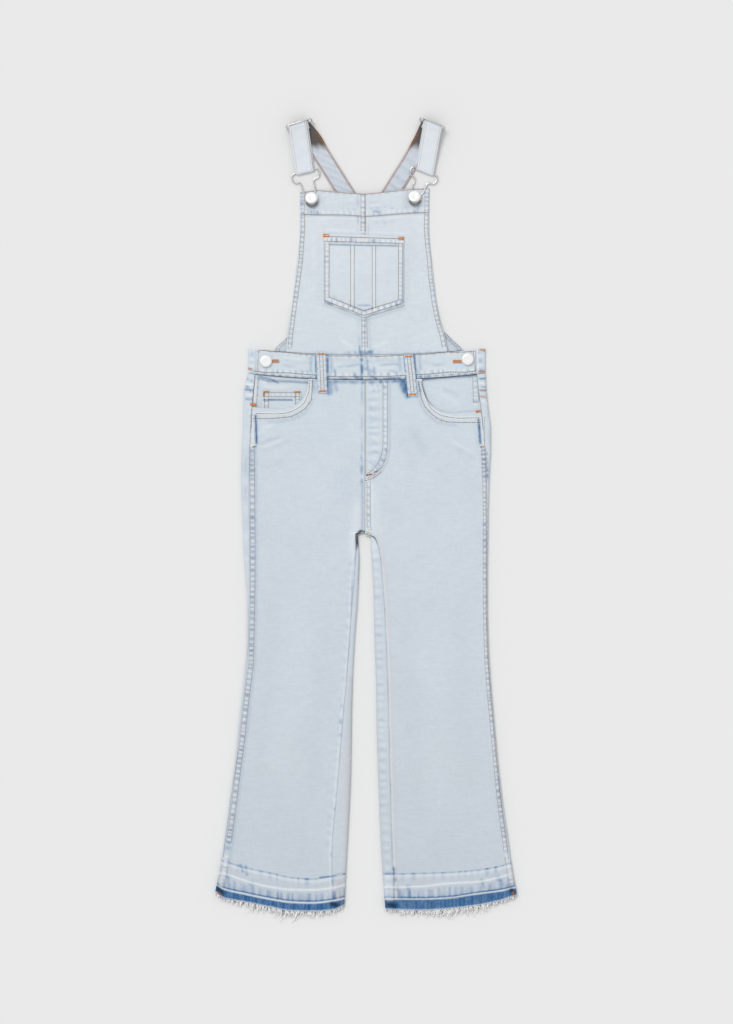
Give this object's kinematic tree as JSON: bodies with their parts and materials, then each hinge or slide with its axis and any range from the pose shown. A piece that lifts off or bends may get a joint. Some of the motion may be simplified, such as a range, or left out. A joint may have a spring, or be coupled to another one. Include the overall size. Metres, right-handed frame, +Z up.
{
  "type": "kids dungarees",
  "caption": "Child's flared denim dungarees laid flat on their back, with a bib pocket, buckled straps folded over to the bib and raw let-down hems.",
  "frame": {"origin": "middle of the garment's outline, on the surface it lies on", "axes": "+Y towards the shoulder straps, +Z up out of the front of the garment, +X to the right as seen from the front"},
  "size_m": [0.3924, 1.04, 0.0182],
  "materials": {
    "denim": "bleached light-blue stretch denim",
    "fray": "frayed cotton yarn",
    "nickel": "bright nickel plate"
  },
  "bodies": {
    "root": {"back_bib": "denim", "belt_loop_left": "denim", "belt_loop_right": "denim", "bib_button_left": "nickel", "bib_button_right": "nickel", "bib_left": "denim", "bib_pocket": "denim", "bib_right": "denim", "buckle_left": "nickel", "buckle_right": "nickel", "coin_pocket": "denim", "fly": "denim", "fringe_left": "fray", "fringe_right": "fray", "leg_back_left": "denim", "leg_back_right": "denim", "leg_front_left": "denim", "leg_front_right": "denim", "pocket_bearer_left": "denim", "pocket_bearer_right": "denim", "side_button_left": "nickel", "side_button_right": "nickel", "side_placket_left": "denim", "side_placket_right": "denim", "slider_left": "nickel", "slider_right": "nickel", "strap_left": "denim", "strap_right": "denim", "waistband_back": "denim", "waistband_front": "denim", "yoke_left": "denim", "yoke_right": "denim"}
  },
  "joints": []
}
